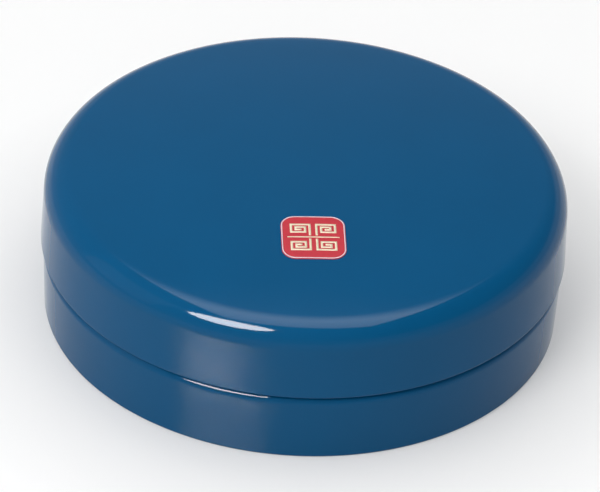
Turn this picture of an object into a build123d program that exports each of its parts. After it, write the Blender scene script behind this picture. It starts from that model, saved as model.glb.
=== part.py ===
from build123d import *
import math
import os

# Outside of the closed box
outer_radius = 39.0
total_height = 26.1
seam_height = 11.1
seam_gap = 0.3

# Lid
lid_wall = 1.8
lid_top_wall = 1.8
lid_draft_degrees = 1.6
crown_radius = 234.0
lid_edge_round = 4.2
lip_round = 0.4
lip_lead = 0.5
ledge_width = 1.2
hollow_wall = 2.3
hollow_round = 1.4

# Lining disc in the lid
liner_thickness = 1.2
liner_fit = 0.05
liner_relief = 0.4

# Label on the lid
label_width = 9.4
label_depth = 9.4
label_corner = 2.1
label_thickness = 0.15
label_right = 1.45
label_forward = 18.85
label_turn_degrees = 4.4

# Base bowl
rim_setback = 0.35
rim_round = 1.2
base_draft_degrees = 2.5
foot_round = 0.4
floor_thickness = 1.8
standing_width = 5.2
recess_depth = 0.6
base_label_gap = 3.0
base_label_thickness = 0.2

# Paste dish, whose wall stands above the bowl as the lid's collar
collar_gap = 0.3
dish_fit = 0.05
dish_floor = 1.6
dish_seat_wall = 2.8
dish_ledge = 1.1
dish_ledge_depth = 5.4
collar_lead = 0.5

# Sealing ring round the collar
seal_place_share = 0.7304
seal_groove_height = 2.0
seal_groove_depth = 1.4
seal_play = 0.1
seal_fit = 0.05
seal_round = 0.6

# Ring that holds the cloth down
ring_fit = 0.05
ring_wall = 1.1
ring_cover = 5.0
ring_drop = 0.4
ring_web = 1.2
ring_lip = 0.5
ring_land = 1.5
ring_round = 0.3

# Inked pad
pad_rise = 1.3
cloth_thickness = 0.5
cloth_fit = 0.05
sponge_below_ledge = 3.6
felt_gap = 0.1


def draft_inset(height, degrees):
    """How far a leaning wall comes in over a height."""
    return height * math.tan(math.radians(degrees))


def dome_rise(distance, edge_radius, rise):
    """Height above its edge of a shallow dome, at a distance from its axis."""
    sphere = (edge_radius**2 + rise**2) / (2 * rise)
    return math.sqrt(sphere**2 - distance**2) - (sphere - rise)


def ring_edges(part):
    """The part's whole circular edges, lowest first."""
    return part.edges().filter_by(GeomType.CIRCLE).filter_by(lambda edge: edge.is_closed).sort_by(Axis.Z)


# Radii that fit one inside the other
lid_bore_radius = outer_radius - lid_wall
lid_hollow_radius = lid_bore_radius - ledge_width
collar_radius = lid_bore_radius - collar_gap
bowl_radius = collar_radius + dish_fit
base_radius = outer_radius - rim_setback
seat_radius = collar_radius - dish_seat_wall
well_radius = seat_radius - dish_ledge
groove_radius = collar_radius - seal_groove_depth
ring_radius = seat_radius - ring_fit
ring_inner_radius = ring_radius - ring_wall
pad_radius = ring_inner_radius - ring_cover
cloth_radius = ring_inner_radius - cloth_fit
sponge_radius = cloth_radius - cloth_thickness

# Heights of the base, from the table up
rim_height = seam_height - seam_gap
foot_radius = base_radius - draft_inset(rim_height, base_draft_degrees)
recess_radius = foot_radius - standing_width
floor_top = recess_depth + floor_thickness
dish_floor_top = floor_top + dish_floor

# Heights of what stands under the crown, from the lid down
crown_centre = total_height - crown_radius
hollow_edge = crown_centre + math.sqrt((crown_radius - lid_top_wall) ** 2 - lid_hollow_radius**2)
liner_top = hollow_edge - hollow_wall
dish_top = liner_top - liner_thickness
ledge_height = dish_top - dish_ledge_depth
groove_bottom = rim_height + seal_place_share * (dish_top - rim_height - seal_groove_height)
ring_top = dish_top - ring_drop
cloth_flat = ring_top - ring_web
sponge_flat = cloth_flat - cloth_thickness
felt_top = ledge_height - sponge_below_ledge

os.makedirs("parts", exist_ok=True)

# Lid: a leaning wall under a low crown, with a wide rounded edge
with BuildPart() as lid_shell:
    with BuildSketch(Plane.XZ):
        with BuildLine():
            Polyline(
                (0, seam_height),
                (outer_radius, seam_height),
                (outer_radius - draft_inset(total_height - seam_height, lid_draft_degrees), total_height),
                (0, total_height),
                close=True,
            )
        make_face()
        with Locations((0, crown_centre)):
            Circle(crown_radius, mode=Mode.INTERSECT)
    revolve(axis=Axis.Z)
    fillet(ring_edges(lid_shell)[-1], lid_edge_round)
    fillet(ring_edges(lid_shell)[0], lip_round)
    with BuildSketch(Plane.XZ):
        with BuildLine():
            Polyline(
                (0, seam_height),
                (lid_bore_radius + lip_lead, seam_height),
                (lid_bore_radius, seam_height + lip_lead),
                (lid_bore_radius, liner_top),
                (lid_hollow_radius, liner_top),
                (lid_hollow_radius, total_height),
                (0, total_height),
                close=True,
            )
        make_face()
        with Locations((0, crown_centre)):
            Circle(crown_radius - lid_top_wall, mode=Mode.INTERSECT)
    revolve(axis=Axis.Z, mode=Mode.SUBTRACT)
    hollow_edges = ring_edges(lid_shell).filter_by(lambda edge: math.isclose(edge.radius, lid_hollow_radius))
    fillet(hollow_edges[-1], hollow_round)
lid_shell.part.label = "lid_shell"
export_step(lid_shell.part, "parts/lid_shell.step")

# Lining disc that closes on the dish's rim, relieved over the pad
with BuildPart() as lid_liner:
    with BuildSketch(Plane.XY.offset(dish_top)):
        Circle(lid_bore_radius - liner_fit)
    extrude(amount=liner_thickness)
    with BuildSketch(Plane.XY.offset(dish_top)):
        Circle(seat_radius)
    extrude(amount=liner_relief, mode=Mode.SUBTRACT)
lid_liner.part.label = "lid_liner"
export_step(lid_liner.part, "parts/lid_liner.step")

# Label: a rounded square that follows the crown
with BuildPart() as lid_label:
    with BuildSketch(Plane.XY.offset(liner_top)):
        with Locations(Location((label_right, -label_forward), label_turn_degrees)):
            RectangleRounded(label_width, label_depth, label_corner)
    extrude(amount=total_height - liner_top + label_thickness)
    with BuildSketch(Plane.XZ):
        with BuildLine():
            Polyline(
                (0, liner_top),
                (outer_radius, liner_top),
                (outer_radius, total_height + label_thickness),
                (0, total_height + label_thickness),
                close=True,
            )
        make_face()
        with Locations((0, crown_centre)):
            Circle(crown_radius + label_thickness, mode=Mode.INTERSECT)
            Circle(crown_radius, mode=Mode.SUBTRACT)
    revolve(axis=Axis.Z, mode=Mode.INTERSECT)
lid_label.part.label = "lid_label"
export_step(lid_label.part, "parts/lid_label.step")

# Base bowl, with a rounded rim under the seam and a recess underneath
with BuildPart() as base_shell:
    with BuildSketch(Plane.XZ):
        with BuildLine():
            Polyline(
                (0, 0),
                (foot_radius, 0),
                (base_radius, rim_height),
                (0, rim_height),
                close=True,
            )
        make_face()
    revolve(axis=Axis.Z)
    fillet(ring_edges(base_shell)[-1], rim_round)
    fillet(ring_edges(base_shell)[0], foot_round)
    with Locations((0, 0, rim_height)):
        Hole(bowl_radius, depth=rim_height - floor_top)
    with BuildSketch(Plane.XY):
        Circle(recess_radius)
    extrude(amount=recess_depth, mode=Mode.SUBTRACT)
base_shell.part.label = "base_shell"
export_step(base_shell.part, "parts/base_shell.step")

# Blank label in the recess
with BuildPart() as base_label:
    with BuildSketch(Plane.XY.offset(recess_depth)):
        Circle(recess_radius - base_label_gap)
    extrude(amount=-base_label_thickness)
base_label.part.label = "base_label"
export_step(base_label.part, "parts/base_label.step")

# Paste dish, stepped inside for the cloth ring and grooved outside for the seal
with BuildPart() as paste_dish:
    with BuildSketch(Plane.XY.offset(floor_top)):
        Circle(collar_radius)
    extrude(amount=dish_top - floor_top)
    chamfer(ring_edges(paste_dish)[-1], collar_lead)
    with Locations((0, 0, dish_top)):
        CounterBoreHole(well_radius, seat_radius, dish_ledge_depth, depth=dish_top - dish_floor_top)
    with BuildSketch(Plane.XY.offset(groove_bottom)):
        Circle(bowl_radius)
        Circle(groove_radius, mode=Mode.SUBTRACT)
    extrude(amount=seal_groove_height, mode=Mode.SUBTRACT)
paste_dish.part.label = "paste_dish"
export_step(paste_dish.part, "parts/paste_dish.step")

# Sealing ring in the groove
with BuildPart() as seal_ring:
    with BuildSketch(Plane.XY.offset(groove_bottom)):
        Circle(lid_bore_radius - seal_fit)
        Circle(groove_radius + seal_fit, mode=Mode.SUBTRACT)
    extrude(amount=seal_groove_height - seal_play)
    fillet(ring_edges(seal_ring).sort_by(SortBy.RADIUS)[-2:], seal_round)
seal_ring.part.label = "seal_ring"
export_step(seal_ring.part, "parts/seal_ring.step")

# Ink felt on the dish's floor
with BuildPart() as ink_felt:
    with BuildSketch(Plane.XY.offset(dish_floor_top)):
        Circle(well_radius - felt_gap)
    extrude(amount=felt_top - dish_floor_top)
ink_felt.part.label = "ink_felt"
export_step(ink_felt.part, "parts/ink_felt.step")

# Sponge, flat under the ring and crowned inside it
with BuildPart() as ink_sponge:
    with BuildSketch(Plane.XZ):
        with BuildLine():
            Polyline(
                (0, sponge_flat + pad_rise),
                (0, felt_top),
                (sponge_radius, felt_top),
                (sponge_radius, sponge_flat),
                (pad_radius, sponge_flat),
            )
            ThreePointArc(
                (pad_radius, sponge_flat),
                (pad_radius / 2, sponge_flat + dome_rise(pad_radius / 2, pad_radius, pad_rise)),
                (0, sponge_flat + pad_rise),
            )
        make_face()
    revolve(axis=Axis.Z)
ink_sponge.part.label = "ink_sponge"
export_step(ink_sponge.part, "parts/ink_sponge.step")

# Cloth over the sponge, turned down round its side as far as the ring reaches
with BuildPart() as pad_cloth:
    with BuildSketch(Plane.XZ):
        with BuildLine():
            Polyline(
                (0, sponge_flat + pad_rise),
                (0, cloth_flat + pad_rise),
            )
            ThreePointArc(
                (0, cloth_flat + pad_rise),
                (pad_radius / 2, cloth_flat + dome_rise(pad_radius / 2, pad_radius, pad_rise)),
                (pad_radius, cloth_flat),
            )
            Polyline(
                (pad_radius, cloth_flat),
                (cloth_radius, cloth_flat),
                (cloth_radius, ledge_height),
                (sponge_radius, ledge_height),
                (sponge_radius, sponge_flat),
                (pad_radius, sponge_flat),
            )
            ThreePointArc(
                (pad_radius, sponge_flat),
                (pad_radius / 2, sponge_flat + dome_rise(pad_radius / 2, pad_radius, pad_rise)),
                (0, sponge_flat + pad_rise),
            )
        make_face()
    revolve(axis=Axis.Z)
pad_cloth.part.label = "pad_cloth"
export_step(pad_cloth.part, "parts/pad_cloth.step")

# Ring on the dish's ledge, with a skirt outside and a thin lip over the cloth
with BuildPart() as cloth_ring:
    with BuildSketch(Plane.XZ):
        with BuildLine():
            Polyline(
                (ring_radius, ledge_height),
                (ring_radius, ring_top),
                (ring_radius - ring_land, ring_top),
                (pad_radius, cloth_flat + ring_lip),
                (pad_radius, cloth_flat),
                (ring_inner_radius, cloth_flat),
                (ring_inner_radius, ledge_height),
                close=True,
            )
        make_face()
    revolve(axis=Axis.Z)
    fillet(ring_edges(cloth_ring).group_by(Axis.Z)[-1].sort_by(SortBy.RADIUS)[-1], ring_round)
cloth_ring.part.label = "cloth_ring"
export_step(cloth_ring.part, "parts/cloth_ring.step")
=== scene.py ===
"""A round seal paste box: glossy blue shells, a film label, and the dish and inked pad inside."""
import logging
import math
from dataclasses import dataclass, replace
from enum import Enum
from itertools import product
from typing import Callable, Protocol, Sequence

import bpy
import numpy as np
from mathutils import Matrix


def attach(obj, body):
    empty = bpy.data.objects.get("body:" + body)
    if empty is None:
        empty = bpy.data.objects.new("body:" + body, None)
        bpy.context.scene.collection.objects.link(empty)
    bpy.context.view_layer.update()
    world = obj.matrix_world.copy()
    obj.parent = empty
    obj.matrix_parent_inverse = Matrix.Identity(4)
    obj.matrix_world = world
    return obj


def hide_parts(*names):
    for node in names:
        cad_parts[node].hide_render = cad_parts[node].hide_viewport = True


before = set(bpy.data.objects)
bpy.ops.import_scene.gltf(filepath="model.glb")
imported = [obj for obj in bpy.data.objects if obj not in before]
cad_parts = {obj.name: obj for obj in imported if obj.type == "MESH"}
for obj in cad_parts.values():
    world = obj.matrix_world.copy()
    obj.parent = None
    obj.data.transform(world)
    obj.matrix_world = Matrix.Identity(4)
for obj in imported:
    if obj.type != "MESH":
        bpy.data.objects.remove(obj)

LOG = logging.getLogger("seal_paste_box")
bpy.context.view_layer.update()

MM = 0.001
TINY = 1e-9
AROUND = 288
IMAGE_WIDTH = 600
IMAGE_HEIGHT = 492
SENSOR_MM = 36.0

Array = np.ndarray
Colour = tuple[float, float, float]
Warp = Callable[[Array], Array]
Socket = bpy.types.NodeSocket
Stops = tuple[tuple[float, float], ...]


class Body(Enum):
    """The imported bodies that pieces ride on."""

    BASE = "base"
    SEAL = "seal"
    LID = "lid"


class Ends(Enum):
    """How a turned outline ends: on the axis at both ends, or back at its own start."""

    AXIS = "axis"
    LOOP = "loop"


class LampShape(Enum):
    """The shapes of the lamps, as Blender names them."""

    RECTANGLE = "RECTANGLE"
    ELLIPSE = "ELLIPSE"


# Outlines, meshes and pieces


@dataclass(frozen=True)
class Corner:
    """A corner of a turned outline: radius and height in mm, and the radius it is rounded to."""

    r: float
    z: float
    round: float = 0.0


@dataclass(frozen=True)
class Outline:
    """Corners joined by straight runs and tangent arcs, in the half plane of radius and height."""

    corners: Sequence[Corner]
    ends: Ends = Ends.AXIS
    arc_steps: int = 8
    hold: float = 0.03
    long_run: float = 0.25

    def arc(self, before: Array, here: Array, after: Array, radius: float) -> Array:
        """Rounds one corner.

        The centre lies on the bisector of the corner, radius / sin(half angle) from it, and the
        arc turns through the rest of a half circle, from one run's contact point to the other's.

        Args:
            before: Corner that comes before, as (r, z).
            here: Corner to round.
            after: Corner that comes after.
            radius: Radius of the arc.

        Returns:
            Points of the arc, one row each.
        """
        back = (before - here) / np.linalg.norm(before - here)
        ahead = (after - here) / np.linalg.norm(after - here)
        half = math.acos(float(np.clip(back @ ahead, -1, 1))) / 2
        bisector = (back + ahead) / np.linalg.norm(back + ahead)
        centre = here + bisector * radius / math.sin(half)
        start = here + back * radius / math.tan(half) - centre
        end = here + ahead * radius / math.tan(half) - centre
        turn = math.pi - 2 * half
        swing = np.linspace(0, turn, self.arc_steps + 1)[:, None]
        return centre + (np.sin(turn - swing) * start + np.sin(swing) * end) / math.sin(turn)

    def points(self) -> Array:
        """Works out the whole outline.

        Each long run beside an arc also gets a point just inside either end, which keeps the
        shading of the arc off the flat.

        Returns:
            Points in mm, one (r, z) row each, from the first corner to the last.
        """
        spots = np.array([(corner.r, corner.z) for corner in self.corners])
        rounded = [corner.round > 0 for corner in self.corners]
        parts = [
            self.arc(spots[i - 1], spots[i], spots[(i + 1) % len(spots)], self.corners[i].round)
            if rounded[i]
            else spots[i][None]
            for i in range(len(spots))
        ]
        line = np.vstack(parts)
        counts = [len(part) for part in parts]
        beside_arc = np.repeat(rounded, counts)
        beside_arc |= np.roll(beside_arc, -1)
        leaves = np.zeros(len(line), dtype=bool)
        leaves[np.cumsum(counts) - 1] = True
        following = np.roll(line, -1, axis=0)
        step = following - line
        length = np.linalg.norm(step, axis=1)
        is_long = leaves & beside_arc & (length > self.long_run)
        if self.ends is Ends.AXIS:
            is_long[-1] = False
        inwards = step / np.maximum(length, TINY)[:, None] * self.hold
        trio = np.stack([line, line + inwards, following - inwards], axis=1)
        keep = np.stack([np.ones_like(is_long), is_long, is_long], axis=1)
        return trio[keep]


def new_mesh(name: str, vertices: Array, faces: list[list[int]]) -> bpy.types.Mesh:
    """Makes a smooth-shaded mesh.

    Args:
        name: Name of the mesh.
        vertices: Places in mm, one row each.
        faces: Vertex numbers of each face, anticlockwise from outside.

    Returns:
        The mesh, in metres.
    """
    mesh = bpy.data.meshes.new(name)
    mesh.from_pydata((vertices * MM).tolist(), [], faces)
    mesh.polygons.foreach_set("use_smooth", np.ones(len(mesh.polygons), dtype=bool))
    mesh.validate()
    mesh.update()
    return mesh


def grid_faces(rows: int, columns: int, wrap_rows: bool) -> Array:
    """Numbers the quads of a grid of points that closes on itself along its columns.

    Quad (i, j) joins points (i, j), (i + 1, j), (i + 1, j + 1) and (i, j + 1), counted round.

    Args:
        rows: Rows of points.
        columns: Points in each row.
        wrap_rows: True if the last row also joins the first.

    Returns:
        Four vertex numbers a row.
    """
    joined = rows if wrap_rows else rows - 1
    i, j = np.divmod(np.arange(joined * columns), columns)
    below, beside = (i + 1) % rows, (j + 1) % columns
    corners = ((i, j), (below, j), (below, beside), (i, beside))
    return np.stack([row * columns + column for row, column in corners], axis=1)


def ringed_mesh(name: str, rings: Array, poles: Array | None = None) -> bpy.types.Mesh:
    """Joins closed rings of points.

    Args:
        name: Name of the mesh.
        rings: Points in mm, of shape (rings, points in each, 3).
        poles: Two points that close the first and the last ring with a fan of triangles each.
            Without them the last ring joins the first.

    Returns:
        The closed mesh.
    """
    rows, count = rings.shape[:2]
    vertices = rings.reshape(-1, 3)
    faces = grid_faces(rows, count, poles is None).tolist()
    if poles is not None:
        here = np.arange(count)
        beside = (here + 1) % count
        below = (rows - 1) * count
        fans = ((len(vertices), here, beside), (len(vertices) + 1, below + beside, below + here))
        for pole, start, end in fans:
            faces += np.stack([np.full(count, pole), start, end], axis=1).tolist()
        vertices = np.vstack([vertices, poles])
    return new_mesh(name, vertices, faces)


def turned_mesh(name: str, outline: Outline, warp: Warp | None = None) -> bpy.types.Mesh:
    """Turns an outline round the Z axis.

    The point of the outline at (r, z), turned by an angle a, lies at (r cos a, r sin a, z). Where
    an outline ends on the axis, its end point is a pole.

    Args:
        name: Name of the mesh.
        outline: What is turned.
        warp: Changes the finished points, in mm, one row each.

    Returns:
        A closed mesh whose faces point outwards, for an outline drawn clockwise.
    """
    line = outline.points()
    on_axis = outline.ends is Ends.AXIS
    radius, height = np.hsplit(line[1:-1] if on_axis else line, 2)
    angle = np.linspace(0, 2 * np.pi, AROUND, endpoint=False)
    rings = np.stack([radius * np.cos(angle), radius * np.sin(angle), height + 0 * angle], axis=-1)
    poles = np.array([(0.0, 0.0, line[0, 1]), (0.0, 0.0, line[-1, 1])]) if on_axis else None
    if warp is not None:
        rings = warp(rings.reshape(-1, 3)).reshape(rings.shape)
        poles = warp(poles) if on_axis else None
    return ringed_mesh(name, rings, poles)


def add_object(name: str, data: bpy.types.ID) -> bpy.types.Object:
    """Puts an object that holds a mesh, a lamp or a camera in the scene."""
    thing = bpy.data.objects.new(name, data)
    bpy.context.scene.collection.objects.link(thing)
    return thing


def add_piece(
    name: str,
    mesh: bpy.types.Mesh,
    material: bpy.types.Material,
    body: Body,
    stands_for: Sequence[str] = (),
) -> bpy.types.Object:
    """Puts a mesh in the scene as a piece of the box.

    Args:
        name: Name of the piece.
        mesh: Its mesh, already in place.
        material: Its finish.
        body: The body it rides on.
        stands_for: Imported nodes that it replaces.

    Returns:
        The new object.
    """
    piece = add_object(name, mesh)
    mesh.materials.append(material)
    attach(piece, body.value)
    if stands_for:
        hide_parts(*stands_for)
    LOG.info("%s: %d faces on %s", name, len(mesh.polygons), body.value)
    return piece


def add_turned(
    name: str,
    outline: Outline,
    finish: "Finish",
    body: Body,
    node: str,
    warp: Warp | None = None,
) -> bpy.types.Object:
    """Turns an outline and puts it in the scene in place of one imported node."""
    return add_piece(name, turned_mesh(name, outline, warp), finish.make(), body, [node])


# Finishes


@dataclass(frozen=True)
class Grain:
    """A soft noise: its lumps to the metre, its detail, and its scale along each axis if any."""

    per_metre: float
    detail: float = 2.0
    stretch: tuple[float, float, float] | None = None


class NodeSheet:
    """A material's node tree, with short calls to add and join nodes."""

    def __init__(self, name: str) -> None:
        """Starts an empty material that holds one Principled shader."""
        self.material = bpy.data.materials.new(name)
        self.material.use_nodes = True
        self.tree = self.material.node_tree
        self.shader = self.tree.nodes["Principled BSDF"]
        self.place = self.tree.nodes.new("ShaderNodeTexCoord").outputs["Object"]
        self.grains: dict[Grain, Socket] = {}

    def add(self, kind: str, **settings: object) -> bpy.types.Node:
        """Adds a node of a kind and sets its properties."""
        node = self.tree.nodes.new(kind)
        for key, value in settings.items():
            setattr(node, key, value)
        return node

    def join(self, source: Socket, target: Socket) -> None:
        """Links one socket to another."""
        self.tree.links.new(source, target)

    def scaled(self, scale: tuple[float, float, float]) -> Socket:
        """Object coordinates, stretched by a scale along each axis."""
        mapping = self.add("ShaderNodeMapping")
        mapping.inputs["Scale"].default_value = scale
        self.join(self.place, mapping.inputs["Vector"])
        return mapping.outputs["Vector"]

    def from_axis(self) -> Socket:
        """Distance from the box's axis, in metres."""
        length = self.add("ShaderNodeVectorMath", operation="LENGTH")
        self.join(self.scaled((1.0, 1.0, 0.0)), length.inputs[0])
        return length.outputs["Value"]

    def noise(self, grain: Grain) -> Socket:
        """Soft noise between 0 and 1, from one node for each grain."""
        if grain not in self.grains:
            node = self.add("ShaderNodeTexNoise")
            node.inputs["Scale"].default_value = grain.per_metre
            node.inputs["Detail"].default_value = grain.detail
            place = self.scaled(grain.stretch) if grain.stretch else self.place
            self.join(place, node.inputs["Vector"])
            self.grains[grain] = node.outputs["Fac"]
        return self.grains[grain]

    def math(self, operation: str, a: Socket | float, b: Socket | float = 0.0) -> Socket:
        """What an operation makes of two sockets or numbers."""
        node = self.add("ShaderNodeMath", operation=operation)
        for value, target in zip((a, b), node.inputs):
            if isinstance(value, (int, float)):
                target.default_value = value
            else:
                self.join(value, target)
        return node.outputs[0]

    def spread(
        self, value: Socket, low: float, high: float, low_in: float = 0.3, high_in: float = 0.7
    ) -> Socket:
        """Carries a range of values over to another range, clamped."""
        node = self.add("ShaderNodeMapRange")
        numbers = {"From Min": low_in, "From Max": high_in, "To Min": low, "To Max": high}
        for key, number in numbers.items():
            node.inputs[key].default_value = number
        self.join(value, node.inputs["Value"])
        return node.outputs["Result"]

    def blend(self, share: Socket, first: Socket | Colour, second: Socket | Colour) -> Socket:
        """Mixes two colours, or colour sockets, by a share."""
        node = self.add("ShaderNodeMix", data_type="RGBA")
        self.join(share, node.inputs["Factor"])
        colours = [socket for socket in node.inputs if socket.type == "RGBA"]
        for value, target in zip((first, second), colours):
            if isinstance(value, tuple):
                target.default_value = (*value, 1.0)
            else:
                self.join(value, target)
        return [socket for socket in node.outputs if socket.type == "RGBA"][0]

    def tinted(self, grain: Grain, colour: Colour, low: float, high: float) -> Socket:
        """A colour that a grain varies between two shares of itself."""
        ends = (tuple(share * part for part in colour) for share in (low, high))
        return self.blend(self.noise(grain), *ends)

    def paint(self, colour: Socket) -> None:
        """Gives the shader its base colour."""
        self.join(colour, self.shader.inputs["Base Color"])

    def roughen(self, grain: Grain, low: float, high: float) -> None:
        """Varies the roughness by a grain, or sets it where both ends are the same."""
        if low == high:
            self.set(Roughness=low)
        else:
            self.join(self.spread(self.noise(grain), low, high), self.shader.inputs["Roughness"])

    def bump(self, height: Socket, depth_mm: float) -> None:
        """Raises the surface by a height between 0 and 1 times a depth."""
        node = self.add("ShaderNodeBump")
        node.inputs["Strength"].default_value = 1.0
        node.inputs["Distance"].default_value = depth_mm * MM
        self.join(height, node.inputs["Height"])
        self.join(node.outputs["Normal"], self.shader.inputs["Normal"])

    def set(self, **numbers: float) -> None:
        """Sets uniform numbers on the shader's own sockets."""
        for key, value in numbers.items():
            self.shader.inputs[key.replace("_", " ")].default_value = value


class Finish(Protocol):
    """Anything that can make a material."""

    def make(self) -> bpy.types.Material:
        """Builds the material."""


@dataclass(frozen=True)
class Skin:
    """An even surface such as plastic, rubber, film or paper.

    One grain tints it, one makes it rougher or smoother and one raises it. It may hold ink stain
    inside a radius, whose ragged edge is the distance from the axis plus noise times the fade.
    """

    name: str
    colour: Colour
    tint: tuple[float, float]
    tint_grain: Grain
    roughness: tuple[float, float]
    rough_grain: Grain
    relief: Grain
    depth_mm: float
    ior: float
    stain_radius_mm: float = 0.0
    stain_fade_mm: float = 2.4
    stain_share: float = 0.75
    stain: Colour = (0.52, 0.09, 0.05)
    stain_grain: Grain = Grain(700.0, 3.0)

    def stained(self, sheet: NodeSheet, clean: Socket) -> Socket:
        """The colour with its ink stain."""
        edge, fade = self.stain_radius_mm * MM, self.stain_fade_mm * MM
        ragged = sheet.math("MULTIPLY", sheet.noise(self.stain_grain), fade)
        reach = sheet.math("ADD", sheet.from_axis(), ragged)
        share = sheet.spread(reach, self.stain_share, 0.0, edge, edge + fade)
        return sheet.blend(share, clean, self.stain)

    def make(self) -> bpy.types.Material:
        """Builds the material."""
        sheet = NodeSheet(self.name)
        colour = sheet.tinted(self.tint_grain, self.colour, *self.tint)
        sheet.paint(self.stained(sheet, colour) if self.stain_radius_mm else colour)
        sheet.roughen(self.rough_grain, *self.roughness)
        sheet.bump(sheet.noise(self.relief), self.depth_mm)
        sheet.set(IOR=self.ior)
        return sheet.material


@dataclass(frozen=True)
class InkedCloth:
    """Close plain weave soaked with vermilion ink: matt threads, darker where the weave lies low
    and in random damp patches.
    """

    name: str
    colour: Colour = (0.72, 0.07, 0.03)
    hollow: Colour = (0.36, 0.02, 0.011)
    hollow_range: tuple[float, float] = (0.15, 0.75)
    thread_mm: float = 0.55
    depth_mm: float = 0.08
    damp: tuple[float, float] = (0.0, 0.3)
    damp_grain: Grain = Grain(120.0, 4.0)
    roughness: tuple[float, float] = (0.5, 0.62)
    rough_grain: Grain = Grain(160.0, 3.0)
    ior: float = 1.38
    sheen: float = 0.04
    sheen_roughness: float = 0.5

    def threads(self, sheet: NodeSheet) -> Socket:
        """Height of a plain weave.

        Warp is a rounded ridge |sin| along X and weft the same along Y, and the sign of
        sin x times sin y says which of the two lies on top.

        Args:
            sheet: The material being made.

        Returns:
            A height between 0 and 1.
        """
        split = sheet.add("ShaderNodeSeparateXYZ")
        sheet.join(sheet.place, split.inputs[0])
        turn = math.pi / (self.thread_mm * MM)
        turns = [sheet.math("MULTIPLY", split.outputs[axis], turn) for axis in "XY"]
        across, along = (sheet.math("SINE", angle) for angle in turns)
        over = sheet.math("GREATER_THAN", sheet.math("MULTIPLY", across, along), 0.0)
        below = sheet.math("SUBTRACT", 1.0, over)
        warp = sheet.math("MULTIPLY", sheet.math("ABSOLUTE", across), over)
        weft = sheet.math("MULTIPLY", sheet.math("ABSOLUTE", along), below)
        return sheet.math("ADD", warp, weft)

    def make(self) -> bpy.types.Material:
        """Builds the material."""
        sheet = NodeSheet(self.name)
        weave = self.threads(sheet)
        raised = sheet.spread(weave, 0.0, 1.0, *self.hollow_range)
        woven = sheet.blend(raised, self.hollow, self.colour)
        damp = sheet.spread(sheet.noise(self.damp_grain), *self.damp)
        sheet.paint(sheet.blend(damp, woven, self.hollow))
        sheet.roughen(self.rough_grain, *self.roughness)
        sheet.bump(weave, self.depth_mm)
        sheet.set(IOR=self.ior, Sheen_Weight=self.sheen, Sheen_Roughness=self.sheen_roughness)
        return sheet.material


@dataclass(frozen=True)
class InkedFoam:
    """Foam or felt soaked with ink: a mass of dark pores or fibres."""

    name: str
    colour: Colour
    pore: Colour
    pores_per_metre: float
    pore_range: tuple[float, float] = (0.05, 0.5)
    depth_mm: float = 0.15
    roughness: float = 0.7
    ior: float = 1.4

    def make(self) -> bpy.types.Material:
        """Builds the material."""
        sheet = NodeSheet(self.name)
        cells = sheet.add("ShaderNodeTexVoronoi")
        cells.inputs["Scale"].default_value = self.pores_per_metre
        sheet.join(sheet.place, cells.inputs["Vector"])
        depth = cells.outputs["Distance"]
        share = sheet.spread(depth, 0.0, 1.0, *self.pore_range)
        sheet.paint(sheet.blend(share, self.pore, self.colour))
        sheet.bump(depth, self.depth_mm)
        sheet.set(Roughness=self.roughness, IOR=self.ior)
        return sheet.material


@dataclass(frozen=True)
class StudioFloor:
    """The pale table top, on which the box casts its shadow.

    Part of its paleness is a glow, so that it comes out near white with the lamps low. The
    camera, mirrored rays and rays through glass all see that paleness, and the rays that light
    the box see a dimmer table. Where it is mirrored it is satin too, less so close to the box,
    so that the lamps' sheen shows in the box's walls. Close to the box the glow fades:
    a painted shade round its foot, like a contact shadow.
    """

    name: str = "floor_finish"
    grey: tuple[float, float] = (0.2, 0.6)
    glow: tuple[float, float] = (0.5, 0.4)
    painted_shade_share: float = 0.62
    painted_shade_from: float = 0.038
    painted_shade_to: float = 0.062
    roughness: float = 0.22
    ior: float = 1.8
    satin_level: tuple[float, float] = (0.2, 0.95)
    level_from: float = 0.045
    level_to: float = 0.058

    def make(self) -> bpy.types.Material:
        """Builds the material: Light Path tells the rays that see it from those that it lights."""
        sheet = NodeSheet(self.name)
        ray = sheet.add("ShaderNodeLightPath").outputs
        seen = sheet.math("ADD", ray["Is Camera Ray"], ray["Is Glossy Ray"])
        seen = sheet.math("ADD", seen, ray["Is Transmission Ray"])
        sheet.paint(sheet.spread(seen, *self.grey, 0.0, 1.0))
        glow = sheet.spread(seen, *self.glow, 0.0, 1.0)
        distance = sheet.from_axis()
        # painted shade: the glow fades close to the box, like a contact shadow, seen by the camera
        # and dimming the light the floor sends up to the base
        near = sheet.spread(distance, self.painted_shade_share, 1.0, self.painted_shade_from, self.painted_shade_to)
        sheet.join(sheet.math("MULTIPLY", glow, near), sheet.shader.inputs["Emission Strength"])
        sheet.shader.inputs["Emission Color"].default_value = (1.0, 1.0, 1.0, 1.0)
        level = sheet.spread(distance, *self.satin_level, self.level_from, self.level_to)
        mirrored = sheet.math("MULTIPLY", level, ray["Is Glossy Ray"])
        sheet.join(mirrored, sheet.shader.inputs["Specular IOR Level"])
        sheet.set(Roughness=self.roughness, IOR=self.ior)
        return sheet.material


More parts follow.
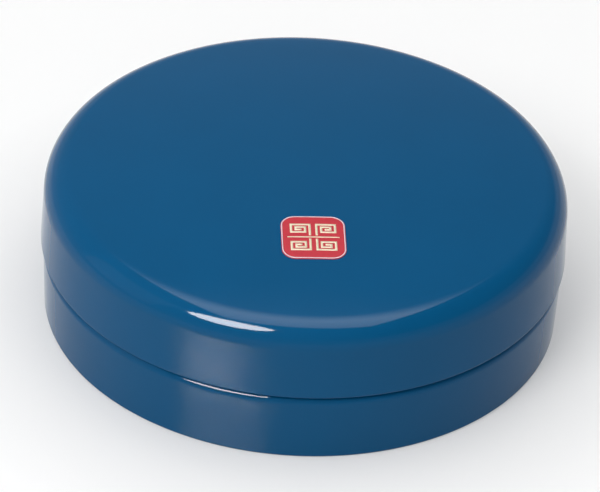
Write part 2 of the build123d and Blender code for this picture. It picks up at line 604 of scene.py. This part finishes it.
BLUE_GLOSS = Skin(
    name="blue_gloss_plastic",
    colour=(0.0006, 0.0825, 0.209),
    tint=(0.94, 1.05),
    tint_grain=Grain(90.0, 3.0),
    roughness=(0.044, 0.0715),
    rough_grain=Grain(420.0, 4.0),
    relief=Grain(55.0, 1.0),
    depth_mm=0.012,
    ior=1.23,
)
SPARK_GRAIN = Grain(2600.0, 3.0)
DISH_SATIN = Skin(
    name="off_white_dish_plastic",
    colour=(0.76, 0.75, 0.71),
    tint=(0.95, 1.0),
    tint_grain=Grain(60.0),
    roughness=(0.36, 0.432),
    rough_grain=SPARK_GRAIN,
    relief=SPARK_GRAIN,
    depth_mm=0.012,
    ior=1.49,
)
PALE_SATIN = replace(DISH_SATIN, colour=(0.78, 0.77, 0.73))
LINER_SATIN = replace(PALE_SATIN, name="off_white_liner_plastic", roughness=(0.3, 0.36))
RING_SATIN = replace(PALE_SATIN, name="off_white_ring_plastic", roughness=(0.22, 0.264))
SEAL_GRAIN = Grain(500.0, 5.0)
SEAL_SKIN = Skin(
    name="pale_grey_elastomer",
    colour=(0.52, 0.53, 0.52),
    tint=(0.9, 1.0),
    tint_grain=SEAL_GRAIN,
    roughness=(0.5, 0.66),
    rough_grain=SEAL_GRAIN,
    relief=Grain(1800.0),
    depth_mm=0.01,
    ior=1.5,
)
FELT = InkedFoam("inked_felt", (0.5, 0.035, 0.018), (0.2, 0.01, 0.006), 1500.0)
SPONGE = InkedFoam("inked_sponge", (0.6, 0.05, 0.025), (0.16, 0.01, 0.006), 900.0)
CLOTH = InkedCloth("inked_cloth")
FILM_GRAIN = Grain(2200.0, 4.0)
RED_FILM = Skin(
    name="red_film",
    colour=(0.58, 0.026, 0.046),
    tint=(0.86, 1.0),
    tint_grain=FILM_GRAIN,
    roughness=(0.3, 0.39),
    rough_grain=FILM_GRAIN,
    relief=FILM_GRAIN,
    depth_mm=0.006,
    ior=1.4,
)
PALE_PRINT = replace(RED_FILM, name="pale_line_print", colour=(0.86, 0.7, 0.76))
CREAM_PRINT = replace(RED_FILM, name="cream_print", colour=(0.93, 0.82, 0.6))
PAPER_FIBRE = Grain(1500.0, 6.0, (1.0, 0.35, 1.0))
LABEL_PAPER = Skin(
    name="plain_white_paper",
    colour=(0.8, 0.8, 0.78),
    tint=(0.93, 1.0),
    tint_grain=PAPER_FIBRE,
    roughness=(0.75, 0.75),
    rough_grain=PAPER_FIBRE,
    relief=PAPER_FIBRE,
    depth_mm=0.015,
    ior=1.45,
)


# Sizes shared by the pieces that fit together


@dataclass(frozen=True)
class BoxSizes:
    """The box's leading sizes in mm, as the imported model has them."""

    outer_radius: float = 39.0
    total_height: float = 26.1
    seam_height: float = 11.1
    crown_radius: float = 234.0
    lid_edge_round: float = 4.2
    lid_draft: float = math.radians(1.6)
    bore_radius: float = 37.2
    hollow_radius: float = 36.0
    top_wall: float = 1.8
    collar_radius: float = 36.9
    groove_radius: float = 35.5
    seat_radius: float = 34.1
    well_radius: float = 33.0
    pad_radius: float = 27.95
    liner_top: float = 19.19
    dish_top: float = 17.99
    ledge_height: float = 12.59
    cloth_flat: float = 16.39
    floor_top: float = 2.4
    dish_floor_top: float = 4.0
    felt_top: float = 8.99

    @property
    def crown_centre(self) -> float:
        """Height of the crown's centre, far below the table."""
        return self.total_height - self.crown_radius

    def crown(self, distance: Array, lift: float = 0.0) -> Array:
        """Height of the crown, or of a surface that much above it, at a distance from the axis."""
        return self.crown_centre + np.sqrt((self.crown_radius + lift) ** 2 - distance**2)


SIZES = BoxSizes()


def arc_points(
    centre: tuple[float, float], radius: float, start: float, end: float, steps: int
) -> list[Corner]:
    """Points on an arc of an outline.

    Each lies at centre + radius (sin t, cos t), and the tilt t runs evenly from start to end.

    Args:
        centre: Centre of the arc as (r, z).
        radius: Radius of the arc.
        start: First tilt from the axis, in radians.
        end: Last tilt.
        steps: Steps between them.

    Returns:
        Unrounded corners along the arc.
    """
    tilt = np.linspace(start, end, steps + 1)
    points = centre + radius * np.stack([np.sin(tilt), np.cos(tilt)], axis=1)
    return [Corner(*point) for point in points.tolist()]


# The lid


@dataclass(frozen=True)
class LidShell:
    """The blue lid: a low crown, a wide rounded edge and a wall that leans in a little."""

    lip_round: float = 0.4
    lip_lead: float = 0.5
    ledge_round: float = 0.15
    hollow_round: float = 1.4
    crown_steps: int = 36
    edge_steps: int = 24

    def edge_centre(self) -> tuple[float, float]:
        """Centre of the rounded edge.

        It lies lid_edge_round inside the leaning wall, on the line r = a - b z, and
        crown_radius - lid_edge_round from the crown's centre, so z solves a quadratic equation.

        Returns:
            The centre as (r, z).
        """
        size = SIZES
        b = math.tan(size.lid_draft)
        inset = size.lid_edge_round / math.cos(size.lid_draft)
        a = size.outer_radius + size.seam_height * b - inset
        reach = size.crown_radius - size.lid_edge_round
        middle = (size.crown_centre + a * b) / (1 + b * b)
        product = (size.crown_centre**2 + a * a - reach**2) / (1 + b * b)
        z = middle + math.sqrt(middle**2 - product)
        return a - b * z, z

    def outline(self) -> Outline:
        """The shell's section, from the middle of its top to the middle of its underside."""
        size = SIZES
        centre = self.edge_centre()
        crown_end = math.atan2(centre[0], centre[1] - size.crown_centre)
        wall_tilt = math.pi / 2 - size.lid_draft
        crown = (0.0, size.crown_centre)
        top = arc_points(crown, size.crown_radius, 0.0, crown_end, self.crown_steps)
        edge = arc_points(centre, size.lid_edge_round, crown_end, wall_tilt, self.edge_steps)[1:]
        under = size.crown_radius - size.top_wall
        hollow_end = math.asin(size.hollow_radius / under)
        inside = arc_points(crown, under, hollow_end, 0.0, self.crown_steps)
        inside[0] = replace(inside[0], round=self.hollow_round)
        lip = [
            Corner(size.outer_radius, size.seam_height, self.lip_round),
            Corner(size.bore_radius + self.lip_lead, size.seam_height, self.ledge_round),
            Corner(size.bore_radius, size.seam_height + self.lip_lead, self.ledge_round),
            Corner(size.bore_radius, size.liner_top, self.ledge_round),
            Corner(size.hollow_radius, size.liner_top, self.ledge_round),
        ]
        beyond_round = inside[0].r - 2 * self.hollow_round
        rest = [corner for corner in inside[1:] if corner.r < beyond_round]
        return Outline([*top, *edge, *lip, inside[0], *rest])

    def build(self) -> None:
        """Makes the shell."""
        outline = self.outline()
        add_turned("lid_shell_gloss", outline, BLUE_GLOSS, Body.LID, "lid_shell")


@dataclass(frozen=True)
class LidLiner:
    """The lining disc: satin, with a relief over the pad, stiffening rings and a gate mark."""

    fit: float = 0.05
    relief: float = 0.4
    edge_round: float = 0.2
    ring_radii: tuple[float, ...] = (12.0, 24.0)
    ring_width: float = 1.2
    ring_depth: float = 0.25
    gate_radius: float = 1.4
    gate_top_radius: float = 0.84
    gate_depth: float = 0.2

    def outline(self) -> Outline:
        """The disc's section: top, rim, sealing land, then the relieved face with its rings."""
        size = SIZES
        rim = size.bore_radius - self.fit
        face = size.dish_top + self.relief
        corners = [
            Corner(0.0, size.liner_top),
            Corner(rim, size.liner_top, self.edge_round),
            Corner(rim, size.dish_top, self.edge_round),
            Corner(size.seat_radius, size.dish_top, self.edge_round),
            Corner(size.seat_radius, face, self.edge_round),
        ]
        for radius in reversed(self.ring_radii):
            corners += [
                Corner(radius + self.ring_width, face, self.edge_round),
                Corner(radius + self.ring_width / 2, face + self.ring_depth, self.edge_round),
                Corner(radius - self.ring_width / 2, face + self.ring_depth, self.edge_round),
                Corner(radius - self.ring_width, face, self.edge_round),
            ]
        corners += [
            Corner(self.gate_radius, face, self.edge_round),
            Corner(self.gate_top_radius, face + self.gate_depth, self.edge_round),
            Corner(0.0, face + self.gate_depth),
        ]
        return Outline(corners)

    def build(self) -> None:
        """Makes the disc."""
        outline = self.outline()
        add_turned("lid_liner_disc", outline, LINER_SATIN, Body.LID, "lid_liner")


@dataclass(frozen=True)
class LidLabel:
    """The small red film: a rounded square that follows the crown, a pale line, a fret in cream."""

    half: float = 4.7
    corner: float = 2.1
    least_corner: float = 0.1
    thickness: float = 0.15
    soft_edge: float = 0.03
    right: float = 1.45
    forward: float = 18.85
    turn: float = math.radians(4.4)
    line_inset: float = 0.06
    line_width: float = 0.17
    film_sink: float = 0.05
    print_lift: float = 0.02
    print_sink: float = 0.05
    corner_steps: int = 12
    side_steps: int = 16
    patch_step: float = 0.3
    fret_sides: int = 8
    fret_pitch: tuple[float, float] = (0.68, 0.56)
    fret_width: float = 0.34
    fret_place: tuple[float, float] = (1.85, 1.66)
    bar_half: float = 3.7
    bar_width: float = 0.2

    @property
    def print_levels(self) -> tuple[float, float]:
        """Heights of the print's top and underside above the crown."""
        return self.thickness + self.print_lift, self.thickness - self.print_sink

    def on_crown(self, flat: Array, lift: Array | float) -> Array:
        """Lays points of the flat label on the crown.

        They are turned by the label's angle, moved to its place, and raised to the crown's height
        there plus a lift.

        Args:
            flat: Points on the flat label, in mm from its middle.
            lift: Height above the crown, one for all or one each.

        Returns:
            Points in space, in mm.
        """
        cos, sin = math.cos(self.turn), math.sin(self.turn)
        x = self.right + flat[..., 0] * cos - flat[..., 1] * sin
        y = -self.forward + flat[..., 0] * sin + flat[..., 1] * cos
        return np.stack([x, y, SIZES.crown(np.hypot(x, y)) + lift], axis=-1)

    def rounded_square(self, inset: float) -> Array:
        """Outline of the label, or of a line inside it.

        Each corner is a quarter circle about a point half - corner from both middle lines, and the
        sides between them are straight, cut into even steps.

        Args:
            inset: How far inside the label's edge it runs.

        Returns:
            Points anticlockwise, as many for any inset.
        """
        radius = max(self.corner - inset, self.least_corner)
        middle = self.half - inset - radius
        sweep = np.linspace(0, np.pi / 2, self.corner_steps + 1)
        quarter = middle + radius * np.stack([np.cos(sweep), np.sin(sweep)], axis=1)
        share = np.linspace(0, 1, self.side_steps + 1)[1:-1, None]
        side = quarter[-1] + share * (quarter[-1] * [-1, 1] - quarter[-1])
        part = np.vstack([quarter, side])
        across = np.stack([-part[:, 1], part[:, 0]], axis=1)
        return np.vstack([part, across, -part, -across])

    def film_mesh(self) -> bpy.types.Mesh:
        """The red film: rings that shrink from its edge to its middle, on the crown and over it."""
        edge, soft = self.rounded_square(0.0), self.rounded_square(self.soft_edge)
        shares = 1 - np.arange(0.0, 1.0, self.patch_step / self.half)
        top = [self.on_crown(soft * share, self.thickness) for share in shares[::-1]]
        side = self.on_crown(edge, self.thickness - self.soft_edge)
        under = [self.on_crown(edge * share, -self.film_sink) for share in shares]
        levels = np.array([self.thickness, -self.film_sink])
        poles = self.on_crown(np.zeros((2, 2)), levels)
        return ringed_mesh("label_film", np.stack([*top, side, *under]), poles)

    def line_mesh(self) -> bpy.types.Mesh:
        """The pale line: a thin closed band just inside the film's edge."""
        outer = self.rounded_square(self.line_inset)
        inner = self.rounded_square(self.line_inset + self.line_width)
        high, low = self.print_levels
        corners = ((inner, high), (outer, high), (outer, low), (inner, low))
        rings = np.stack([self.on_crown(flat, lift) for flat, lift in corners])
        return ringed_mesh("label_pale_line", rings)

    def fret_path(self, across: int, along: int) -> Array:
        """Square spiral in one quarter of the label, from its middle outwards.

        Side number n is ceil(n / 2) pitches long and each side turns left from the one before, so
        the corners are the running sum of those sides. The quarters mirror each other.

        Args:
            across: 1 for the right-hand quarters, -1 for the left-hand ones.
            along: 1 for the upper quarters, -1 for the lower ones.

        Returns:
            Corners in mm, one row each.
        """
        number = np.arange(1, self.fret_sides + 1)
        length = np.ceil(number / 2)
        heading = np.array([(1, 0), (0, 1), (-1, 0), (0, -1)])[(number - 1) % 4]
        corners = np.vstack([[0.0, 0.0], np.cumsum(heading * length[:, None], axis=0)])
        corners = (corners - (corners.max(axis=0) + corners.min(axis=0)) / 2) * self.fret_pitch
        return (corners + self.fret_place) * (across, along)

    def ribbon(self, path: Array, width: float) -> tuple[Array, list[list[int]]]:
        """A flat printed line of even width along a path of square corners.

        Both edges run half a width to the side of the path, mitred at its corners, and the line
        has a top and an underside. Long sides are cut into short ones so that it follows the crown.

        Args:
            path: Corners of the path.
            width: Width of the line.

        Returns:
            Its vertices, one row each, and its faces.
        """
        heading = np.diff(path, axis=0)
        heading = heading / np.linalg.norm(heading, axis=1)[:, None]
        across = np.stack([-heading[:, 1], heading[:, 0]], axis=1)
        mitre = np.vstack([across[:1], across[:-1] + across[1:], across[-1:]]) * width / 2
        start, end = path[:1] - heading[:1] * width / 2, path[-1:] + heading[-1:] * width / 2
        line = np.vstack([start, path[1:-1], end])
        legs = np.linalg.norm(np.diff(line, axis=0), axis=1)
        cuts = np.maximum(np.ceil(legs / self.patch_step).astype(int), 1)
        leg = np.repeat(np.arange(len(cuts)), cuts)
        before = np.repeat(np.cumsum(cuts) - cuts, cuts)
        share = (np.arange(cuts.sum()) - before) / np.repeat(cuts, cuts)
        along = np.concatenate([leg + share, [len(cuts)]])
        marks = np.arange(len(line))
        spine, aside = (
            np.stack([np.interp(along, marks, part[:, axis]) for axis in (0, 1)], axis=1)
            for part in (line, mitre)
        )
        high, low = self.print_levels
        left, right = spine + aside, spine - aside
        section = ((left, high), (right, high), (right, low), (left, low))
        rings = np.stack([self.on_crown(flat, lift) for flat, lift in section], axis=1)
        rows, sides = rings.shape[:2]
        faces = grid_faces(rows, sides, False)[:, [0, 3, 2, 1]].tolist()
        faces += [list(range(sides))[::-1], list(range((rows - 1) * sides, rows * sides))]
        return rings.reshape(-1, 3), faces

    def print_mesh(self) -> bpy.types.Mesh:
        """The cream print: a fret in each quarter and a bar between the two rows."""
        bar = np.array([(-self.bar_half, 0.0), (self.bar_half, 0.0)])
        frets = [self.fret_path(*quarter) for quarter in product((1, -1), (1, -1))]
        strips = [self.ribbon(fret, self.fret_width) for fret in frets]
        strips.append(self.ribbon(bar, self.bar_width))
        vertices, faces = np.empty((0, 3)), []
        for points, quads in strips:
            faces += [[number + len(vertices) for number in quad] for quad in quads]
            vertices = np.vstack([vertices, points])
        return new_mesh("label_fret", vertices, faces)

    def build(self) -> None:
        """Makes the film and its print."""
        for mesh, finish, stands_for in (
            (self.film_mesh(), RED_FILM, ["lid_label"]),
            (self.line_mesh(), PALE_PRINT, []),
            (self.print_mesh(), CREAM_PRINT, []),
        ):
            add_piece(mesh.name, mesh, finish.make(), Body.LID, stands_for)


# The base


@dataclass(frozen=True)
class BaseShell:
    """The blue bowl, with a rounded rim under the seam and a recess underneath."""

    rim_radius: float = 38.65
    foot_radius: float = 38.178
    rim_height: float = 10.8
    rim_round: float = 1.2
    foot_round: float = 0.4
    bowl_radius: float = 36.95
    recess_radius: float = 32.98
    recess_depth: float = 0.6
    small_round: float = 0.15

    def outline(self) -> Outline:
        """The bowl's section, from the middle of its floor to the middle of its underside."""
        return Outline(
            [
                Corner(0.0, SIZES.floor_top),
                Corner(self.bowl_radius, SIZES.floor_top, self.small_round),
                Corner(self.bowl_radius, self.rim_height, self.small_round),
                Corner(self.rim_radius, self.rim_height, self.rim_round),
                Corner(self.foot_radius, 0.0, self.foot_round),
                Corner(self.recess_radius, 0.0, self.small_round),
                Corner(self.recess_radius, self.recess_depth, self.small_round),
                Corner(0.0, self.recess_depth),
            ],
            arc_steps=12,
        )

    def build(self) -> None:
        """Makes the bowl and dresses the plain label underneath."""
        add_turned(
            "base_shell_gloss", self.outline(), BLUE_GLOSS, Body.BASE, "base_shell"
        )
        paper = LABEL_PAPER.make()
        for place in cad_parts["base_label"].material_slots:
            place.material = paper


@dataclass(frozen=True)
class PasteDish:
    """The inner dish: its wall is the lid's collar, grooved outside for the sealing ring."""

    groove_bottom: float = 14.59
    groove_top: float = 16.59
    collar_lead: float = 0.5
    small_round: float = 0.15
    rim_round: float = 0.3

    def outline(self) -> Outline:
        """The dish's section, from the middle of its floor to the middle of its underside."""
        size = SIZES
        return Outline(
            [
                Corner(0.0, size.dish_floor_top),
                Corner(size.well_radius, size.dish_floor_top, self.small_round),
                Corner(size.well_radius, size.ledge_height, self.small_round),
                Corner(size.seat_radius, size.ledge_height, self.small_round),
                Corner(size.seat_radius, size.dish_top, self.rim_round),
                Corner(size.collar_radius - self.collar_lead, size.dish_top, self.rim_round),
                Corner(size.collar_radius, size.dish_top - self.collar_lead, self.rim_round),
                Corner(size.collar_radius, self.groove_top, self.small_round),
                Corner(size.groove_radius, self.groove_top, self.small_round),
                Corner(size.groove_radius, self.groove_bottom, self.small_round),
                Corner(size.collar_radius, self.groove_bottom, self.small_round),
                Corner(size.collar_radius, size.floor_top, self.rim_round),
                Corner(0.0, size.floor_top),
            ]
        )

    def build(self) -> None:
        """Makes the dish."""
        outline = self.outline()
        add_turned("paste_dish_satin", outline, DISH_SATIN, Body.BASE, "paste_dish")


@dataclass(frozen=True)
class SealRing:
    """The elastomer ring in the collar's groove, with two shallow lips outside."""

    bottom: float = 14.59
    height: float = 1.9
    fit: float = 0.05
    lip_round: float = 0.3
    waist_depth: float = 0.3
    inner_round: float = 0.15

    def outline(self) -> Outline:
        """The ring's section, clockwise from its inner top corner."""
        inner = SIZES.groove_radius + self.fit
        outer = SIZES.bore_radius - self.fit
        top, middle = self.bottom + self.height, self.bottom + self.height / 2
        return Outline(
            [
                Corner(inner, top, self.inner_round),
                Corner(outer, top, self.lip_round),
                Corner(outer, middle + self.waist_depth, self.inner_round),
                Corner(outer - self.waist_depth, middle, self.inner_round),
                Corner(outer, middle - self.waist_depth, self.inner_round),
                Corner(outer, self.bottom, self.lip_round),
                Corner(inner, self.bottom, self.inner_round),
            ],
            Ends.LOOP,
            arc_steps=5,
        )

    def build(self) -> None:
        """Makes the ring."""
        outline = self.outline()
        add_turned("seal_ring_lips", outline, SEAL_SKIN, Body.SEAL, "seal_ring")


# The inked pad


@dataclass(frozen=True)
class InkedPad:
    """Felt, sponge, cloth and the ring that clamps the cloth."""

    rise: float = 1.3
    cloth_thickness: float = 0.5
    cloth_radius: float = 32.9
    fold_round: float = 0.45
    felt_gap: float = 0.1
    soft_round: float = 0.8
    crown_steps: int = 60
    pleats: int = 46
    pleat_height: float = 0.06
    pleat_reach: float = 6.0
    pleat_sway: tuple[tuple[float, float, float], ...] = ((1.3, 5.0, 0.0), (0.8, 3.0, 1.0))
    hem_round: float = 0.15
    ring_radius: float = 34.05
    ring_wall: float = 1.1
    ring_drop: float = 0.4
    ring_land: float = 1.5
    ring_lip: float = 0.5
    ring_round: float = 0.3
    ring_small_round: float = 0.2
    stain_margin: float = 0.3

    @property
    def dome_radius(self) -> float:
        """Radius of the pad's crown, from its width and its rise."""
        return (SIZES.pad_radius**2 + self.rise**2) / (2 * self.rise)

    def crown(self, flat: float, outwards: bool) -> list[Corner]:
        """The pad's crown over a flat level, drawn outwards from the axis or inwards to it."""
        centre = (0.0, flat + self.rise - self.dome_radius)
        edge = math.asin(SIZES.pad_radius / self.dome_radius)
        start, end = (0.0, edge) if outwards else (edge, 0.0)
        return arc_points(centre, self.dome_radius, start, end, self.crown_steps)

    def pucker(self, vertices: Array) -> Array:
        """Draws the cloth in at the ring.

        The height gains pleat_height times a wave round the axis, at its most where the cloth
        goes under the ring, and nothing further in than pleat_reach. The wave sin(pleats t + s)
        is spaced unevenly by a sway s, a sum of size sin(turns t + start).

        Args:
            vertices: Points of the cloth in mm.

        Returns:
            The puckered points.
        """
        x, y, z = vertices.T
        radius, angle = np.hypot(x, y), np.arctan2(y, x)
        near = np.clip((radius - SIZES.pad_radius + self.pleat_reach) / self.pleat_reach, 0, 1)
        near = near**2 * (radius < SIZES.pad_radius)
        sway = sum(size * np.sin(turns * angle + start) for size, turns, start in self.pleat_sway)
        wave = np.sin(self.pleats * angle + sway)
        return np.stack([x, y, z + self.pleat_height * near * (wave - 1)], axis=1)

    def cloth_outline(self) -> Outline:
        """The cloth's section: over the crown, flat under the ring, down the side and back."""
        size = SIZES
        under = size.cloth_flat - self.cloth_thickness
        inner = self.cloth_radius - self.cloth_thickness
        return Outline(
            [
                *self.crown(size.cloth_flat, True),
                Corner(self.cloth_radius, size.cloth_flat, self.fold_round),
                Corner(self.cloth_radius, size.ledge_height, self.hem_round),
                Corner(inner, size.ledge_height, self.hem_round),
                Corner(inner, under, self.hem_round),
                *self.crown(under, False),
            ]
        )

    def sponge_outline(self) -> Outline:
        """The sponge's section: crown, soft shoulder, side and underside."""
        size = SIZES
        level = size.cloth_flat - self.cloth_thickness
        side = self.cloth_radius - self.cloth_thickness
        return Outline(
            [
                *self.crown(level, True),
                Corner(side, level, self.hem_round),
                Corner(side, size.felt_top, self.soft_round),
                Corner(0.0, size.felt_top),
            ]
        )

    def felt_outline(self) -> Outline:
        """The felt's section: a plain disc with softened edges."""
        size = SIZES
        side = size.well_radius - self.felt_gap
        return Outline(
            [
                Corner(0.0, size.felt_top),
                Corner(side, size.felt_top, self.soft_round),
                Corner(side, size.dish_floor_top, self.soft_round),
                Corner(0.0, size.dish_floor_top),
            ]
        )

    def ring_outline(self) -> Outline:
        """The ring's section, clockwise from its inner lip."""
        size = SIZES
        top = size.dish_top - self.ring_drop
        inner = self.ring_radius - self.ring_wall
        small = self.ring_small_round
        return Outline(
            [
                Corner(size.pad_radius, size.cloth_flat + self.ring_lip, small),
                Corner(self.ring_radius - self.ring_land, top, self.ring_round),
                Corner(self.ring_radius, top, self.ring_round),
                Corner(self.ring_radius, size.ledge_height, small),
                Corner(inner, size.ledge_height, small),
                Corner(inner, size.cloth_flat, small),
                Corner(size.pad_radius, size.cloth_flat, small),
            ],
            Ends.LOOP,
        )

    def build(self) -> None:
        """Makes the felt, the sponge, the cloth and the ring."""
        felt, sponge = self.felt_outline(), self.sponge_outline()
        add_turned("ink_felt_disc", felt, FELT, Body.BASE, "ink_felt")
        block = add_turned(
            "ink_sponge_block", sponge, SPONGE, Body.BASE, "ink_sponge", self.pucker
        )
        cloth = self.cloth_outline()
        weave = add_turned(
            "pad_cloth_weave", cloth, CLOTH, Body.BASE, "pad_cloth", self.pucker
        )
        ring = self.ring_outline()
        stained = replace(RING_SATIN, stain_radius_mm=SIZES.pad_radius + self.stain_margin)
        add_turned("cloth_ring_clamp", ring, stained, Body.BASE, "cloth_ring")


# The studio


PANEL_FADE: Stops = ((0.0, 0.65), (0.25, 0.85), (0.47, 1.0), (0.72, 0.36), (0.85, 0.1), (1.0, 0.0))


@dataclass(frozen=True)
class Softbox:
    """A flat lamp that faces a point, given by the direction it shines from."""

    name: str
    azimuth: float
    elevation: float
    distance: float
    width: float
    height: float
    radiance: float
    shape: LampShape = LampShape.RECTANGLE
    twist: float = 0.0
    only_glossy: bool = False
    glint_gap: float = 0.01
    fade: Stops = ()

    def glint(self, name: str, radiance: float) -> "Softbox":
        """A lamp just in front of this one, which lights mirrored rays only."""
        nearer = self.distance - self.glint_gap
        return replace(self, name=name, distance=nearer, radiance=radiance, only_glossy=True)

    def power(self) -> float:
        """Power in watts: radiance times pi times the area, pi / 4 of its box if it is round."""
        fill = math.pi / 4 if self.shape is LampShape.ELLIPSE else 1.0
        return self.radiance * math.pi * self.width * self.height * fill

    def add_fade(self, lamp: bpy.types.AreaLight) -> None:
        """Fades the lamp from its near edge to its far edge, by its own surface coordinates."""
        lamp.use_nodes = True
        tree = lamp.node_tree
        split = tree.nodes.new("ShaderNodeSeparateXYZ")
        surface = tree.nodes.new("ShaderNodeNewGeometry")
        tree.links.new(surface.outputs["Parametric"], split.inputs[0])
        grade(tree, split.outputs["Y"], self.fade, tree.nodes["Emission"].inputs["Strength"])

    def place(self, target: Array) -> None:
        """Adds the lamp.

        It stands at target + distance (sin a cos e, -cos a cos e, sin e), where azimuth a is
        counted from the camera's side towards the right and e is the elevation. It is twisted
        about that line.

        Args:
            target: Point that it faces, in metres.
        """
        a, e, twist = (math.radians(angle) for angle in (self.azimuth, self.elevation, self.twist))
        back = np.array([math.sin(a) * math.cos(e), -math.cos(a) * math.cos(e), math.sin(e)])
        level = np.array([math.cos(a), math.sin(a), 0.0])
        right = math.cos(twist) * level + math.sin(twist) * np.cross(back, level)
        lamp = bpy.data.lights.new(self.name, "AREA")
        lamp.shape = self.shape.value
        lamp.size, lamp.size_y = self.width, self.height
        lamp.energy = self.power()
        if self.fade:
            self.add_fade(lamp)
        stand = add_object(self.name, lamp)
        aim(stand, right, np.cross(back, right), back, target + back * self.distance)
        stand.visible_camera = False
        stand.visible_diffuse = not self.only_glossy
        stand.visible_transmission = not self.only_glossy


def aim(stand: bpy.types.Object, right: Array, up: Array, back: Array, place: Array) -> None:
    """Turns the X, Y and Z axes of a lamp or camera to three directions and moves it to a place."""
    matrix = np.eye(4)
    matrix[:3] = np.stack([right, up, back, place], axis=1)
    stand.matrix_world = Matrix(matrix.tolist())


def grade(tree: bpy.types.NodeTree, source: Socket, stops: Stops, target: Socket) -> None:
    """Joins two sockets by a colour ramp of greys.

    Args:
        tree: The node tree that holds them.
        source: Where along the ramp, from 0 to 1.
        stops: Place and level of each stop, in order.
        target: What gets the level.
    """
    ramp = tree.nodes.new("ShaderNodeValToRGB")
    elements = ramp.color_ramp.elements
    while len(elements) < len(stops):
        elements.new(1.0)
    for element, (place, level) in zip(elements, stops):
        element.position = place
        element.color = (level, level, level, 1.0)
    tree.links.new(source, ramp.inputs["Fac"])
    tree.links.new(ramp.outputs["Color"], target)


OVERHEAD = Softbox("overhead_softbox", 0.0, 96.5, 1.0, 0.89, 1.23, 2.2, fade=PANEL_FADE)
KEY = Softbox("key_softbox", -32.0, 42.0, 1.2, 0.64, 0.45, 7.0, LampShape.ELLIPSE, 20.0)
LEFT = Softbox("left_softbox", -80.0, 25.0, 1.2, 0.8, 0.8, 0.5)
LAMPS = (OVERHEAD, OVERHEAD.glint("overhead_glint", 4.5), KEY, KEY.glint("key_glint", 45.0), LEFT)


@dataclass(frozen=True)
class Studio:
    """Floor, dim surroundings over a pale horizon, lamps and camera."""

    floor_half: float = 3.0
    horizon: Stops = ((0.0, 0.62), (0.2, 0.62), (0.3, 0.0))
    sky: Stops = ((0.0, 0.0), (0.2, 0.0), (0.3, 1.0))
    sky_across: Stops = ((0.0, 0.5), (0.5, 0.45), (0.8, 0.2), (1.0, 0.2))
    target: tuple[float, float, float] = (0.0, 0.0, 0.01053)
    camera_distance: float = 0.975
    camera_elevation: float = math.radians(35.68)
    camera_roll: float = math.radians(3.363)
    focal_pixels: float = 6556.9
    middle_pixel: tuple[float, float] = (303.07, 244.31)
    clip: tuple[float, float] = (0.01, 50.0)

    def floor(self) -> None:
        """Lays the table top."""
        corners = np.array([(-1, -1, 0), (1, -1, 0), (1, 1, 0), (-1, 1, 0)])
        mesh = new_mesh("table_top", corners * self.floor_half / MM, [[0, 1, 2, 3]])
        mesh.materials.append(StudioFloor().make())
        add_object("table_top", mesh)

    def surroundings(self) -> None:
        """Fills the room with dim light: pale at the horizon, darker above it and to the right.

        A direction's height, 0 at the horizon and 1 overhead, parts the pale horizon from the
        sky, and how far it points to the right, from 0 to 1, sets the level of the sky.
        """
        world = bpy.data.worlds.new("studio")
        world.use_nodes = True
        tree = world.node_tree
        split = tree.nodes.new("ShaderNodeSeparateXYZ")
        tree.links.new(tree.nodes.new("ShaderNodeTexCoord").outputs["Generated"], split.inputs[0])
        rightness = tree.nodes.new("ShaderNodeMapRange")
        rightness.inputs["From Min"].default_value = -1.0
        tree.links.new(split.outputs["X"], rightness.inputs["Value"])
        level = tree.nodes.new("ShaderNodeMath")
        level.operation = "MULTIPLY_ADD"
        height, across = split.outputs["Z"], rightness.outputs["Result"]
        ramps = ((height, self.sky), (across, self.sky_across), (height, self.horizon))
        for (source, stops), target in zip(ramps, level.inputs):
            grade(tree, source, stops, target)
        tree.links.new(level.outputs[0], tree.nodes["Background"].inputs["Strength"])
        tree.nodes["Background"].inputs["Color"].default_value = (1.0, 1.0, 1.0, 1.0)
        bpy.context.scene.world = world

    def camera(self) -> None:
        """Sets the camera where the photograph was taken from.

        It stands back from the target along (0, -cos e, sin e) and is turned by its roll about
        that line. Its lens is focal_pixels times the sensor's width over the image's.
        """
        e, roll = self.camera_elevation, self.camera_roll
        back = np.array([0.0, -math.cos(e), math.sin(e)])
        right, up = np.array([1.0, 0.0, 0.0]), np.array([0.0, math.sin(e), math.cos(e)])
        lens = bpy.data.cameras.new("camera")
        lens.sensor_width = SENSOR_MM
        lens.lens = self.focal_pixels * SENSOR_MM / IMAGE_WIDTH
        lens.shift_x = (IMAGE_WIDTH / 2 - self.middle_pixel[0]) / IMAGE_WIDTH
        lens.shift_y = (self.middle_pixel[1] - IMAGE_HEIGHT / 2) / IMAGE_WIDTH
        lens.clip_start, lens.clip_end = self.clip
        across = math.cos(roll) * right + math.sin(roll) * up
        upwards = math.cos(roll) * up - math.sin(roll) * right
        stand = add_object("camera", lens)
        aim(stand, across, upwards, back, np.array(self.target) + back * self.camera_distance)
        bpy.context.scene.camera = stand

    def build(self) -> None:
        """Sets up the whole studio."""
        self.floor()
        self.surroundings()
        for lamp in LAMPS:
            lamp.place(np.array(self.target))
        self.camera()
        bpy.context.scene.view_settings.view_transform = "Standard"


def main() -> None:
    """Builds the studio and the box, from the outside in."""
    logging.basicConfig(level=logging.INFO, format="%(message)s")
    Studio().build()
    for part in (LidShell, LidLiner, LidLabel, BaseShell, PasteDish, SealRing, InkedPad):
        part().build()


if __name__ == "__main__":
    main()
